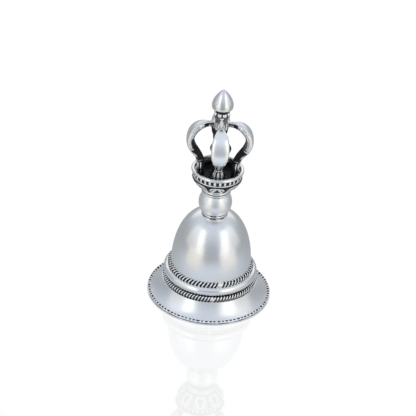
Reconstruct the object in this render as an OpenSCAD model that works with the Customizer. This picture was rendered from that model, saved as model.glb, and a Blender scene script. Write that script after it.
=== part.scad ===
// Small ritual hand bell: a flared bell with rope wires round its waist, a ball
// neck, a lotus cup and a crown of four curved prongs under a drop finial.
// The origin is the centre of the rim's plane, +Z is up, sizes are millimetres.

/* [Bell mouth] */
// Outer diameter of the rim
rim_d = 35.4; // [29.4:0.1:43]
// Height of the skirt's ledge, which carries the lower rope wire
skirt_h = 5.2; // [4.2:0.1:6.6]
// How far the ledge stands out from the dome's foot
ledge_w = 2.1; // [1.8:0.05:2.6]
// How far the skirt's outline is hollowed from a straight cone
skirt_hollow = 0.34; // [0:0.02:0.6]
// Wall of the skirt and the dome
wall = 1.2; // [0.8:0.05:1.5]
// Width of the edge wire
edge_w = 0.5; // [0.4:0.02:0.7]
// Height of the edge wire
edge_h = 0.34; // [0.24:0.02:0.45]
// Diameter of the beaded wire above the edge
beading_d = 0.84; // [0.6:0.02:1]

/* [Waist] */
// Outer diameter of the dome's foot
waist_d = 22.8; // [19:0.1:27.4]
// Diameter of the lower rope wire
rope_low_d = 1.56; // [1.3:0.02:1.8]
// Diameter of the upper rope wire
rope_up_d = 1.52; // [1.3:0.02:1.8]
// How far the half-round band stands out from the dome's foot
band_w = 1.9; // [1.6:0.05:2.3]
// Height of the half-round band
band_h = 2.3; // [1.9:0.05:2.7]

/* [Dome] */
// Height of the dome above its foot
dome_h = 19.8; // [16.4:0.1:24]
// Height of the dome's straight foot
dome_foot_h = 2.6; // [2:0.1:3.2]

/* [Neck] */
// Diameter of the collar on the dome
collar_d = 7.2; // [6:0.1:8.4]
// Height of the collar
collar_h = 0.6; // [0.5:0.02:0.9]
// Diameter of the collar's shadow groove
collar_groove_d = 5.8; // [4.8:0.1:6.4]
// Diameter of the ball
ball_d = 9.4; // [7.8:0.1:11.4]
// Diameter of the flat under the ball
ball_foot_d = 7.4; // [6:0.1:7.6]
// Diameter of the flat on the ball
ball_seat_d = 6.3; // [5.4:0.1:7.2]
// Diameter of the ring on the ball
ring_d = 8.3; // [7.2:0.1:9]
// Height of the ring on the ball
ring_h = 1.4; // [1.1:0.05:1.8]

/* [Lotus cup] */
// Outer diameter of the cup's rim ring
cup_d = 14.7; // [12.2:0.1:17.7]
// Height of the cup, foot to rim
cup_h = 6.2; // [5.1:0.1:7.5]
// Diameter of the rim ring's wire
cup_wire_d = 1.0; // [0.8:0.02:1.2]
// Depth of the dish in the cup
dish_depth = 3.0; // [2.4:0.1:3.4]
// Wall round the dish
cup_wall = 0.55; // [0.4:0.05:0.8]
// Number of petals round the cup
petals = 8; // [6:1:10]
// Number of beads round the cup
cup_beads = 30; // [24:1:34]

/* [Crown] */
// Outer diameter of the crown where the prongs are widest apart
crown_d = 18.5; // [15.4:0.1:22.2]
// Radius of the bow of each prong, at the middle of its metal
bow_r = 4.95; // [4.1:0.05:5.9]
// Height of the crown, rim ring to the top of the prongs
crown_h = 14.5; // [12.6:0.1:17.4]
// Angle below level at which the bow turns back to the cup
bow_turn = 35; // [30:1:42]
// Widest part of a prong
prong_w = 5.0; // [4:0.1:5.6]
// Thickness of a prong where it is widest
prong_t = 2.25; // [1.8:0.05:2.6]
// Width of a root at its foot
root_w = 3.4; // [2.8:0.1:3.8]
// Diameter of the spindle
spindle_d = 2.4; // [2.2:0.1:3]
// Diameter of the bead on the spindle
bead_d = 5.7; // [4.8:0.1:6.2]
// Height of the bead on the spindle
bead_h = 3.8; // [3:0.1:4.6]

/* [Finial] */
// Distance across the flats of the hub
hub_w = 4.4; // [4:0.1:4.8]
// Height of the hub above the prongs
hub_over = 2.1; // [1.6:0.1:2.6]
// Diameter over the ring of beads on the hub
hub_ring_d = 4.9; // [4.5:0.1:5.4]
// Diameter of each of these beads
hub_bead_d = 1.36; // [1.2:0.02:1.5]
// Largest diameter of the drop
drop_d = 5.96; // [5:0.1:7]
// Height of the drop
drop_h = 5.6; // [4.6:0.1:6.8]

/* [Clapper] */
// Diameter of the tie rod that runs up the handle
rod_d = 1.8; // [1.4:0.05:2]
// Distance across the flats of the nut
nut_w = 3.8; // [3.2:0.1:4.4]
// Wire of the staple, the link and the clapper's eye
wire_d = 0.7; // [0.5:0.02:0.8]
// Radius of the staple at its wire's middle
staple_r = 1.2; // [1.15:0.05:1.4]
// Radius of the link at its wire's middle
link_r = 1.3; // [1.25:0.05:1.5]
// Radius of the clapper's eye at its wire's middle
eye_r = 1.1; // [1.05:0.05:1.3]
// Diameter of the clapper's ball
clapper_d = 5.8; // [4.8:0.1:6.2]
// Height of the ball's middle above the rim's plane
clapper_z = 5.2; // [4.6:0.1:6.5]

/* [Hidden] */

$fn = 96;
seat = 0.02;       // solder or seating gap round a wire laid in its groove
fit = 0.03;        // radial clearance of the tie rod in its holes
play = 0.05;       // clearance between the wires of two links
eps = 0.01;        // overshoot of a cut

rim_r = rim_d / 2;
waist_r = waist_d / 2;
ledge_r = waist_r + ledge_w;
band_r = waist_r + band_w;
bore_r = waist_r - wall;

// Heights, from the rim's plane up.
dome_z = skirt_h + rope_low_d + 2 * seat;
band_z = dome_z + band_h / 2;
crown_z = dome_z + dome_h;
ball_z0 = crown_z + collar_h;
function cap_height(ball, flat) = sqrt(pow(ball / 2, 2) - pow(flat / 2, 2));
ball_z = ball_z0 + cap_height(ball_d, ball_foot_d);
ring_z = ball_z + cap_height(ball_d, ball_seat_d);
cup_z = ring_z + ring_h;
cup_top = cup_z + cup_h;
dish_z = cup_top - dish_depth;
prong_top = cup_top + crown_h;

// Rope wires: the lower one lies on the ledge, the upper one on the band.
rope_low_at = [ledge_r - rope_low_d / 2, skirt_h + seat + rope_low_d / 2];
rope_up_at = [waist_r + 0.14, dome_z + band_h + 0.42];
skirt_collar_r = rope_low_at[0] - rope_low_d / 2 - seat;

// Rim: the beaded wire lies in the corner between the skirt and the edge wire.
skirt_foot_h = edge_h + 0.36;
beading_at = [rim_r - 0.6, edge_h + 0.38];

// Dome outline: a superellipse over the straight foot, cut level at the crown.
apex_over = 0.5;   // how far the whole curve would rise above the crown
dome_curve_h = dome_h - dome_foot_h + apex_over;
function dome_r(z, r) = r * pow(1 - pow(z / dome_curve_h, 2.15), 1 / 2.55);

// Cup: foot, belly, rail, bead groove and rim ring.
cup_r = cup_d / 2;
cup_wire_r = cup_wire_d / 2;
cup_ring_r = cup_r - cup_wire_r;
cup_ring_z = cup_top - cup_wire_r;
cup_lip_z = cup_ring_z - 0.3 * cup_wire_d;
cup_foot_r = ring_d / 2 - 0.1;
groove_h = 1.3;
rail_h = 0.35;     // height of the rail under the bead groove
groove_z = cup_lip_z - groove_h;
groove_r = cup_ring_r - 0.3;
cup_belly_r = groove_r + 0.2;
cup_bead_r = 0.6;
dish_r = groove_r - cup_wall;
petal_t = 0.35;
petal_gap = 4;     // degrees between two petals

// Crown: each prong is a bow, a short straight and a reverse curve to its root.
prong_tip_t = 1.5;
prong_tip_w = 1.3;
prong_end_w = 3.6;
root_waist_w = 2.2;
root_gap = 0.1;    // between a root and the wall of the dish
hub_r = hub_w / 2;
root_r = dish_r - prong_t / 2 - root_gap;
root_top = [root_r, cup_top + 0.3];
bow_c = [crown_d / 2 - prong_t / 2 - bow_r, prong_top - prong_tip_t / 2 - bow_r];
// The bow starts level with the hub's flat, or over it if the bow is wide.
bow_start = bow_c[0] > hub_r ? 90 : acos((hub_r - bow_c[0]) / bow_r);

// Hub and finial.
hub_z = prong_top - prong_tip_t - 0.4;
hub_top = prong_top + hub_over;
finial_neck_r = 0.3 * drop_d;
finial_neck_h = 1.0;
drop_z = hub_top + hub_bead_d + finial_neck_h;
spindle_bead_z = cup_top + 0.42 * crown_h;

// Clapper: the staple's loop is across the bell, the link's along it.
nut_h = 1.2;
nut_z = crown_z - wall - nut_h;
wire_r = wire_d / 2;
hook = 2 * wire_r + play;
staple_z = nut_z - 0.4 - wire_r - staple_r;
link_pivot_z = staple_z - staple_r;
link_z = link_pivot_z + hook - link_r;
clapper_pivot_z = link_z - link_r;
eye_z = clapper_pivot_z + hook - eye_r;
clapper_rod_r = 0.65;
clapper_flat = 0.93 * clapper_d / 2;   // height of the ball's flat above its middle
rod_socket = 3;    // depth of the hole in the spindle that the tie rod ends in
rod_in = 2.9;      // how far the tie rod goes into it

silver = [0.80, 0.81, 0.83];
satin = [0.72, 0.73, 0.75];
dark = [0.30, 0.31, 0.33];

// A ring of round wire.
module wire_ring(r, z, d) {
    translate([0, 0, z]) rotate_extrude() translate([r, 0]) circle(d = d);
}

// The tie rod's hole.
module rod_hole(from, to) {
    translate([0, 0, from - eps]) cylinder(r = rod_d / 2 + fit, h = to - from + 2 * eps);
}

// Points of a shallow arc from a to b, bowed by sag to the left of its chord.
function arc(a, b, sag, steps = 16) = let (d = b - a, side = [-d[1], d[0]] / norm(d))
    [for (i = [0:steps]) let (u = i / steps) a + u * d + 4 * sag * u * (1 - u) * side];

module flared_skirt() {
    lip = 0.9;     // width of the flat that the bell stands on
    color(satin) difference() {
        rotate_extrude() polygon(concat(
            [[rim_r - edge_w - lip, 0], [rim_r - edge_w, 0]],
            arc([rim_r - edge_w, skirt_foot_h], [ledge_r, skirt_h], skirt_hollow),
            [[skirt_collar_r, skirt_h], [skirt_collar_r, dome_z], [bore_r, dome_z],
                [bore_r, skirt_h + 0.3]],
            arc([bore_r + wall, skirt_h - wall], [rim_r - edge_w - lip, 0], -skirt_hollow)));
        wire_ring(beading_at[0], beading_at[1], beading_d + 2 * seat);
    }
}

module rim_edge_wire() {
    color(silver) difference() {
        rotate_extrude() {
            translate([rim_r - edge_w, 0]) square([edge_w - edge_h / 2, edge_h]);
            translate([rim_r - edge_h / 2, edge_h / 2]) circle(d = edge_h);
        }
        wire_ring(beading_at[0], beading_at[1], beading_d + 2 * seat);
    }
}

module rim_beading() {
    color(silver) wire_ring(beading_at[0], beading_at[1], beading_d);
}

module lower_rope_wire() {
    color(silver) wire_ring(rope_low_at[0], rope_low_at[1], rope_low_d);
}

// The outside of the dome as a solid, which wires and bands are fitted to.
module dome_solid(r, z0, z1) {
    steps = 28;
    foot = dome_z + dome_foot_h;
    rotate_extrude() polygon(concat(
        [[0, z0], [r, z0]],
        [for (i = [0:steps]) let (z = (z1 - foot) * (1 - pow(1 - i / steps, 1.5)))
            [dome_r(z, r), foot + z]],
        [[0, z1]]));
}

module waist_band() {
    color(satin) difference() {
        rotate_extrude() {
            translate([waist_r + seat, dome_z]) square([band_r - band_h / 2 - waist_r, band_h]);
            translate([band_r - band_h / 2, band_z]) circle(d = band_h);
        }
        dome_solid(waist_r + seat, dome_z - eps, crown_z);
        wire_ring(rope_low_at[0], rope_low_at[1], rope_low_d + 2 * seat);
        wire_ring(rope_up_at[0], rope_up_at[1], rope_up_d + 2 * seat);
    }
}

module upper_rope_wire() {
    color(silver) difference() {
        wire_ring(rope_up_at[0], rope_up_at[1], rope_up_d);
        dome_solid(waist_r + seat, dome_z, crown_z);
    }
}

module dome_shell() {
    color(satin) difference() {
        dome_solid(waist_r, dome_z, crown_z);
        dome_solid(bore_r, dome_z - eps, crown_z - wall);
        rod_hole(crown_z - wall, crown_z);
    }
}

module neck_collar() {
    flange_h = 0.55 * collar_h;
    flange_taper = 0.5;
    groove_z = crown_z + flange_h;
    color(silver) difference() {
        union() {
            translate([0, 0, crown_z])
                cylinder(d1 = collar_d, d2 = collar_d - flange_taper, h = flange_h);
            translate([0, 0, groove_z - eps]) cylinder(d = collar_groove_d, h = ball_z0 - groove_z + eps);
        }
        rod_hole(crown_z, ball_z0);
    }
}

module ball_knob() {
    color(silver) difference() {
        translate([0, 0, ball_z]) sphere(d = ball_d);
        translate([0, 0, ball_z0 - ball_d]) cylinder(d = ball_d, h = ball_d);
        translate([0, 0, ring_z]) cylinder(d = ball_d, h = ball_d);
        rod_hole(ball_z0, ring_z);
    }
}

// A turned ring with two soft steps and a groove between them.
module neck_ring() {
    r = ring_d / 2;
    bead_low = 0.25;   // radius of the step at the foot
    bead_high = 0.4;   // radius of the step under the cup
    lap = 0.05;        // how far the upper step stays below the cup
    color(silver) difference() {
        rotate_extrude() {
            translate([0, ring_z]) square([r - bead_high, ring_h]);
            translate([0, ring_z]) square([r - bead_low, 2 * bead_low]);
            translate([r - bead_low, ring_z + bead_low]) circle(r = bead_low);
            translate([r - bead_high, ring_z + ring_h - bead_high - lap]) circle(r = bead_high);
        }
        rod_hole(ring_z, cup_z);
    }
}

// The cup's outline, from the foot up to the rail under the bead band.
function cup_outline(grow = 0) = let (top = groove_z - rail_h)
    [for (i = [0:14]) let (u = i / 14)
        [cup_foot_r + (cup_belly_r - cup_foot_r) * sin(90 * pow(u, 1.1)) + grow,
         cup_z + (top - cup_z) * u]];

module lotus_cup() {
    dish_round = 0.25;
    color(dark) difference() {
        rotate_extrude() difference() {
            polygon(concat([[0, cup_z]], cup_outline(),
                [[cup_belly_r, groove_z], [groove_r, groove_z], [groove_r, cup_lip_z], [0, cup_lip_z]]));
            translate([0, dish_z]) square([dish_r - dish_round, cup_h]);
            translate([0, dish_z + dish_round]) square([dish_r, cup_h]);
            translate([dish_r - dish_round, dish_z + dish_round]) circle(r = dish_round);
        }
        rod_hole(cup_z, dish_z);
    }
}

// Petals: plates that follow the cup's belly, parted by narrow slots. The middle
// of one petal is at the front.
module lotus_petals() {
    pitch = 360 / petals;
    margin = 0.3;
    inner = [for (p = cup_outline(seat)) if (p[1] > cup_z + margin && p[1] < groove_z - rail_h - margin) p];
    outer = [for (i = [len(inner) - 1:-1:0]) inner[i] + [petal_t * sin(180 * (i + 1) / (len(inner) + 1)), 0]];
    color(silver) for (k = [0:petals - 1])
        rotate([0, 0, (k - 0.5) * pitch + petal_gap / 2 - 90]) rotate_extrude(angle = pitch - petal_gap)
            polygon(concat(inner, outer));
}

module cup_bead_band() {
    z = groove_z + groove_h / 2;
    hoop = 0.16;
    color(silver) union() {
        translate([0, 0, groove_z]) difference() {
            cylinder(r = groove_r + seat + hoop, h = groove_h);
            translate([0, 0, -eps]) cylinder(r = groove_r + seat, h = groove_h + 2 * eps);
        }
        difference() {
            for (k = [0:cup_beads - 1]) rotate([0, 0, (k + 0.5) * 360 / cup_beads])
                translate([groove_r - 0.05, 0, z]) sphere(r = cup_bead_r, $fn = 32);
            translate([0, 0, groove_z - eps]) cylinder(r = groove_r + seat, h = groove_h + 2 * eps);
        }
    }
}

module cup_rim_ring() {
    color(silver) difference() {
        wire_ring(cup_ring_r, cup_ring_z, cup_wire_d);
        translate([0, 0, cup_lip_z - cup_wire_d]) cylinder(r = cup_d, h = cup_wire_d);
    }
}

// The middle line of a prong's metal: [place, outward normal, share of the way].
bow_steps = 22;
root_steps = 10;
function on_bow(a) = bow_c + bow_r * [cos(a), sin(a)];
function bow_line() = concat(
    [[[hub_r, on_bow(bow_start)[1]], [0, 1], 0]],
    [for (i = [bow_start < 90 ? 1 : 0:bow_steps])
        let (a = bow_start - (bow_start + bow_turn) * i / bow_steps)
        [on_bow(a), [cos(a), sin(a)], 0.06 + 0.94 * i / bow_steps]]);

// A root runs on from the bow in one S-curve, and then straight down.
function root_line() = let (
        p0 = on_bow(-bow_turn), p3 = root_top, reach = 0.4 * norm(p3 - p0),
        p1 = p0 - reach * [sin(bow_turn), cos(bow_turn)], p2 = p3 + [0, reach])
    concat([for (i = [0:root_steps]) let (u = i / root_steps, v = 1 - u,
            at = v * v * v * p0 + 3 * u * v * v * p1 + 3 * u * u * v * p2 + u * u * u * p3,
            way = v * v * (p1 - p0) + 2 * u * v * (p2 - p1) + u * u * (p3 - p2))
            [at, [-way[1], way[0]] / norm(way), 0.7 * u]],
        [[[root_r, dish_z], [1, 0], 1]]);

function bow_w(u) = lookup(u, [[0, prong_tip_w], [0.06, prong_w * 0.36], [0.19, prong_w * 0.57],
    [0.3, prong_w * 0.75], [0.4, prong_w * 0.88], [0.5, prong_w * 0.97], [0.62, prong_w],
    [0.76, prong_w * 0.98], [0.88, prong_w * 0.9], [1, prong_end_w]]);
function bow_t(u) = prong_tip_t + (prong_t - prong_tip_t) * sin(90 * min(1, u / 0.6));
function root_section_w(u) = lookup(u, [[0, prong_end_w], [0.2, prong_end_w * 0.82], [0.42, root_waist_w],
    [0.54, root_waist_w], [0.74, root_w * 0.9], [1, root_w]]);

// Cross-section of the metal: a bowed outer face and a keel inside.
function section(w, t) = concat(
    [for (k = [0:8]) let (a = 22.5 * k) [w / 2 * cos(a), t / 2 * pow(sin(a), 0.8)]],
    [[-w * 0.3, -t * 0.3], [0, -t / 2], [w * 0.3, -t * 0.3]]);
// Cross-section of a root: the same, with flutes along its outer face.
function fluted(w, t) = concat(
    [for (k = [0:8]) let (a = 22.5 * k) [w / 2 * cos(a), t / 2 * pow(sin(a), 0.8) * (k % 2 == 0 ? 1 : 0.86)]],
    [[-w * 0.3, -t * 0.3], [0, -t / 2], [w * 0.3, -t * 0.3]]);

// A solid swept through rings of points, one ring for each place on a line.
module swept(line, rings) {
    n = len(rings[0]);
    m = len(rings);
    points = [for (i = [0:m - 1]) for (q = rings[i])
        [line[i][0][0] + q[1] * line[i][1][0], q[0], line[i][0][1] + q[1] * line[i][1][1]]];
    sides = [for (i = [0:m - 2]) for (j = [0:n - 1]) let (k = (j + 1) % n)
        each [[i * n + j, i * n + k, (i + 1) * n + k], [i * n + j, (i + 1) * n + k, (i + 1) * n + j]]];
    polyhedron(points, concat(sides,
        [[for (j = [n - 1:-1:0]) j]], [[for (j = [0:n - 1]) (m - 1) * n + j]]));
}

module prong(turn) {
    line = bow_line();
    color(silver) rotate([0, 0, turn])
        swept(line, [for (p = line) section(bow_w(p[2]), bow_t(p[2]))]);
}

module prong_root(turn) {
    line = root_line();
    color(dark) rotate([0, 0, turn])
        swept(line, [for (p = line) fluted(root_section_w(p[2]), prong_t)]);
}

module central_spindle() {
    r = spindle_d / 2;
    foot = 1.1;        // how far the foot stands out, and its three heights
    foot_z = [0.5, 1.6, 3.4];
    neck = 0.3;
    color(dark) difference() {
        rotate_extrude() polygon([[0, dish_z], [r + foot, dish_z], [r + foot, dish_z + foot_z[0]],
            [r + neck, dish_z + foot_z[1]], [r, dish_z + foot_z[2]], [r, hub_z], [0, hub_z]]);
        rod_hole(dish_z, dish_z + rod_socket);
    }
}

// The bead is threaded on the spindle, which it is cut to fit.
module spindle_bead() {
    r = spindle_d / 2;
    color(dark) difference() {
        translate([0, 0, spindle_bead_z]) rotate_extrude() polygon(concat([[0, -bead_h / 2]],
            [for (i = [1:23]) let (a = -90 + 7.5 * i) [bead_d / 2 * cos(a), bead_h / 2 * sin(a)]],
            [[0, bead_h / 2]]));
        translate([0, 0, spindle_bead_z - bead_h]) cylinder(r = r + seat, h = 2 * bead_h);
    }
}

module crown_hub() {
    color(dark) translate([0, 0, hub_z]) rotate([0, 0, 22.5])
        cylinder(r = hub_r / cos(22.5), h = hub_top - hub_z, $fn = 8);
}

module hub_bead_ring() {
    n = 8;
    mid = hub_ring_d / 2 - hub_bead_d / 2;
    color(silver) union() {
        translate([0, 0, hub_top]) cylinder(r = mid, h = hub_bead_d);
        difference() {
            for (k = [0:n - 1]) rotate([0, 0, (k + 0.5) * 360 / n])
                translate([mid, 0, hub_top + hub_bead_d / 2]) sphere(d = hub_bead_d + 0.06, $fn = 32);
            translate([0, 0, hub_top - hub_bead_d]) cylinder(r = hub_ring_d, h = hub_bead_d);
            translate([0, 0, hub_top + hub_bead_d]) cylinder(r = hub_ring_d, h = hub_bead_d);
        }
    }
}

// A drop: the lower part of a ball, drawn up to a soft point, on a short neck.
module finial_drop() {
    r = drop_d / 2;
    low = 17;      // degrees below level where the ball is cut flat
    belly_z = drop_z + r * sin(low);
    rise = drop_z + drop_h - belly_z;
    color(silver) rotate_extrude() polygon(concat(
        [[0, hub_top + hub_bead_d], [finial_neck_r, hub_top + hub_bead_d], [finial_neck_r, drop_z]],
        [for (i = [0:4]) let (a = -low * (1 - i / 4)) [r * cos(a), belly_z + r * sin(a)]],
        [for (i = [1:16]) let (u = i / 16) [r * pow(1 - pow(u, 1.65), 0.86), belly_z + rise * u]]));
}

module tie_rod() {
    color(dark) translate([0, 0, nut_z]) cylinder(d = rod_d, h = dish_z + rod_in - nut_z);
}

module rod_nut() {
    color(silver) difference() {
        translate([0, 0, nut_z]) cylinder(r = nut_w / 2 / cos(30), h = nut_h, $fn = 6);
        rod_hole(nut_z, nut_z + nut_h);
    }
}

module clapper_staple() {
    stem_d = 1.6;
    color(silver) translate([0, 0, staple_z]) union() {
        rotate([0, 90, 0]) rotate_extrude() translate([staple_r, 0]) circle(d = wire_d, $fn = 32);
        translate([0, 0, staple_r]) cylinder(d = stem_d, h = nut_z - staple_z - staple_r);
    }
}

module clapper_link() {
    color(silver) translate([0, 0, link_z]) rotate([90, 0, 0])
        rotate_extrude() translate([link_r, 0]) circle(d = wire_d, $fn = 32);
}

module clapper_eye() {
    color(silver) translate([0, 0, eye_z]) rotate([0, 90, 0])
        rotate_extrude() translate([eye_r, 0]) circle(d = wire_d, $fn = 32);
}

module clapper_rod() {
    top = eye_z - eye_r;
    flat = clapper_z + clapper_flat;
    color(silver) difference() {
        translate([0, 0, flat]) cylinder(r1 = clapper_rod_r * 1.3, r2 = clapper_rod_r * 0.9, h = top - flat);
        translate([0, 0, eye_z]) rotate([0, 90, 0])
            rotate_extrude() translate([eye_r, 0]) circle(d = wire_d, $fn = 32);
    }
}

module clapper_ball() {
    color(silver) translate([0, 0, clapper_z]) difference() {
        sphere(d = clapper_d);
        translate([0, 0, clapper_flat]) cylinder(d = clapper_d, h = clapper_d);
    }
}

flared_skirt();
rim_edge_wire();
rim_beading();
lower_rope_wire();
waist_band();
upper_rope_wire();
dome_shell();
neck_collar();
ball_knob();
neck_ring();
lotus_cup();
lotus_petals();
cup_bead_band();
cup_rim_ring();
prong_root(-90);  // prong_root_front
prong_root(90);  // prong_root_back
prong_root(180);  // prong_root_left
prong_root(0);  // prong_root_right
prong(-90);  // prong_front
prong(90);  // prong_back
prong(180);  // prong_left
prong(0);  // prong_right
central_spindle();
spindle_bead();
crown_hub();
hub_bead_ring();
finial_drop();
tie_rod();
rod_nut();
clapper_staple();
clapper_link();
clapper_eye();
clapper_rod();
clapper_ball();
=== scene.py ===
"""A small ritual hand bell in satin silver with blackened recesses, built round its fixed frame.

The frame gives every place and main size. Work is in millimetres and meshes are stored in metres.
"""

import math

import bmesh
import bpy
from mathutils import Matrix, Quaternion, Vector


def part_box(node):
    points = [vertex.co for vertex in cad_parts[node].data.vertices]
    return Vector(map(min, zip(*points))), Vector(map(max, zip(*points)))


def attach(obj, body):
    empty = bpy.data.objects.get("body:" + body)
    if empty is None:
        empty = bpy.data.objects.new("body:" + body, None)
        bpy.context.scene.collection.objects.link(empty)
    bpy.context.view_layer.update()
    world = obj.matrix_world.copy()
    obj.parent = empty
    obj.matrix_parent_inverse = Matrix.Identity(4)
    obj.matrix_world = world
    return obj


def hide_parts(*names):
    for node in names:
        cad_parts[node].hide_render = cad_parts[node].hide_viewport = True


bl_info = {
    "name": "Ritual hand bell",
    "version": (1, 0, 0),
    "blender": (4, 5, 0),
    "location": "View3D > Sidebar > Hand bell",
    "description": "Builds the silver pieces of a small ritual hand bell round its frame",
    "category": "Add Mesh",
}

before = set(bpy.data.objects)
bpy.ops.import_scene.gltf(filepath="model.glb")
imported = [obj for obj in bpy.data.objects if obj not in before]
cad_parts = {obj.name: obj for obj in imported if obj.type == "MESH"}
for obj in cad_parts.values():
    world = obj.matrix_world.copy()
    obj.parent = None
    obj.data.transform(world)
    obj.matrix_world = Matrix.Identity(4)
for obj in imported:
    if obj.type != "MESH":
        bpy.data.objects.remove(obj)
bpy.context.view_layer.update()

MM = 0.001
FULL_TURN = 2 * math.pi
FRONT = -math.pi / 2
PRONG_TURNS = {"front": FRONT, "right": 0.0, "back": math.pi / 2, "left": math.pi}
# Painted shade and light per prong: black painted on the lower keel, and how bright its silver is set.
PRONG_KEEL_PAINTED_SHADE = {"front": 0.5, "right": 0.0, "back": 1.0, "left": 1.0}
PRONG_PAINTED_LIGHT = {"front": 1.18, "right": 1.0, "back": 1.04, "left": 0.94}
RECESS = "recess"
FINISHES = {}
BEAD_SHADE = math.radians(112)  # the black side of the rim beads, turned up from outward
ROD_R = 0.93  # radius of the hole for the tie rod
BEAD_SHIFT = 0.35  # how far the spindle's bead was soldered off the middle


# ---------------------------------------------------------------- sizes from the frame


def lowest(node):
    """Lowest corner of a frame node, in millimetres."""
    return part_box(node)[0] / MM


def highest(node):
    """Highest corner of a frame node, in millimetres."""
    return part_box(node)[1] / MM


class WireRing:
    """A level ring of round wire: radius of its middle line, height and thickness."""

    def __init__(self, node):
        self.thick = highest(node).z - lowest(node).z
        self.radius = highest(node).x - self.thick / 2
        self.height = (highest(node).z + lowest(node).z) / 2


RIM_R = highest("rim_edge_wire").x
EDGE_H = highest("rim_edge_wire").z
BEADING = WireRing("rim_beading")
ROPE_LOW = WireRing("lower_rope_wire")
ROPE_UP = WireRing("upper_rope_wire")
BAND_R = highest("waist_band").x
BAND_LOW = lowest("waist_band").z
DOME_Z = lowest("dome_shell").z
CROWN_Z = highest("dome_shell").z
WAIST_R = highest("dome_shell").x
LEDGE_H = ROPE_LOW.height - ROPE_LOW.thick / 2
LOW_ROPE_SINK = 0.30  # the lower rope and its ledge sit this much deeper than the frame's
COLLAR_R = highest("neck_collar").x
BALL_Z0 = highest("neck_collar").z
BALL_R = highest("ball_knob").x
RING_Z = highest("ball_knob").z
RING_R = highest("neck_ring").x
CUP_Z = highest("neck_ring").z
CUP_TOP = highest("cup_rim_ring").z
CUP_R = highest("cup_rim_ring").x
DISH_Z = lowest("central_spindle").z
PRONG_TOP = highest("prong_right").z
CROWN_R = highest("prong_right").x
HUB_Z = lowest("crown_hub").z
HUB_TOP = highest("crown_hub").z
HUB_R = highest("crown_hub").x
BEAD_RING_TOP = highest("hub_bead_ring").z
TIP_Z = highest("finial_drop").z
DROP_R = highest("finial_drop").x


# ---------------------------------------------------------------- settings


class BellSizes(bpy.types.PropertyGroup):
    """Sizes and counts that a maker would change."""

    rim_beads: bpy.props.IntProperty(
        name="Rim beads", description="Beads soldered round the rim", default=92
    )
    low_strokes: bpy.props.IntProperty(
        name="Lower rope turns", description="Turns of the two strands of the lower rope", default=47
    )
    up_strokes: bpy.props.IntProperty(
        name="Upper rope turns", description="Turns of the two strands of the upper rope", default=36
    )
    cup_beads: bpy.props.IntProperty(
        name="Cup beads", description="Beads between the rails of the cup", default=30
    )
    petals: bpy.props.IntProperty(
        name="Petals", description="Lotus petals round the cup", default=8
    )
    hub_beads: bpy.props.IntProperty(
        name="Hub beads", description="Beads in the ring under the drop", default=8
    )
    wall: bpy.props.FloatProperty(
        name="Wall", description="Wall of the bell in millimetres", default=1.2
    )
    bow_radius: bpy.props.FloatProperty(
        name="Bow radius", description="Radius of each prong's bow in millimetres", default=4.95
    )
    bow_turn: bpy.props.FloatProperty(
        name="Bow turn",
        description="How far below level each bow turns in",
        default=math.radians(35),
        subtype="ANGLE",
    )
    prong_width: bpy.props.FloatProperty(
        name="Prong width", description="Widest part of a prong in millimetres", default=5.0
    )
    prong_thickness: bpy.props.FloatProperty(
        name="Prong thickness", description="Thickness of a prong in millimetres", default=2.25
    )


class BellColours(bpy.types.PropertyGroup):
    """Colours of the metal and the light."""

    silver: bpy.props.FloatVectorProperty(
        name="Silver", description="Colour of the clean silver", subtype="COLOR",
        default=(0.86, 0.865, 0.87), min=0, max=1,
    )
    oxide: bpy.props.FloatVectorProperty(
        name="Oxide", description="Colour of the blackened recesses", subtype="COLOR",
        default=(0.015, 0.016, 0.019), min=0, max=1,
    )
    softbox: bpy.props.FloatVectorProperty(
        name="Softbox", description="Colour of the standing softboxes", subtype="COLOR",
        default=(1.0, 0.965, 0.9), min=0, max=1,
    )
    room: bpy.props.FloatVectorProperty(
        name="Room", description="Colour of the studio round the table", subtype="COLOR",
        default=(0.41, 0.445, 0.49), min=0, max=1,
    )
    ceiling: bpy.props.FloatVectorProperty(
        name="Ceiling", description="Colour of the light from above", subtype="COLOR",
        default=(0.66, 0.72, 0.82), min=0, max=1,
    )


def sizes():
    """The sizes of this scene."""
    return bpy.context.scene.hand_bell_sizes


def colours():
    """The colours of this scene."""
    return bpy.context.scene.hand_bell_colours


# ---------------------------------------------------------------- node trees


class Wire:
    """An output socket that takes part in plain arithmetic."""

    def __init__(self, tree, socket):
        self.tree = tree
        self.socket = socket

    def __getitem__(self, name):
        outputs = self.socket.node.outputs
        return Wire(self.tree, next(s for s in outputs if s.name == name and s.enabled))

    def maths(self, operation, *values):
        return Nodes(self.tree).add("ShaderNodeMath", {"operation": operation}, dict(enumerate(values)))

    def __add__(self, other):
        return self.maths("ADD", self, other)

    def __radd__(self, other):
        return self.maths("ADD", other, self)

    def __sub__(self, other):
        return self.maths("SUBTRACT", self, other)

    def __rsub__(self, other):
        return self.maths("SUBTRACT", other, self)

    def __mul__(self, other):
        return self.maths("MULTIPLY", self, other)

    def __rmul__(self, other):
        return self.maths("MULTIPLY", other, self)

    def __truediv__(self, other):
        return self.maths("DIVIDE", self, other)

    def __rtruediv__(self, other):
        return self.maths("DIVIDE", other, self)

    def cos(self):
        return self.maths("COSINE", self)

    def sin(self):
        return self.maths("SINE", self)

    def root(self):
        return self.maths("SQRT", self)

    def size(self):
        return self.maths("ABSOLUTE", self)

    def most(self, other):
        return self.maths("MAXIMUM", self, other)

    def ramp(self, start, end, low=0.0, high=1.0):
        """A smooth step from low at start to high at end."""
        return Nodes(self.tree).add(
            "ShaderNodeMapRange",
            {"interpolation_type": "SMOOTHSTEP"},
            {"Value": self, "From Min": start, "From Max": end, "To Min": low, "To Max": high},
        )


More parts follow.
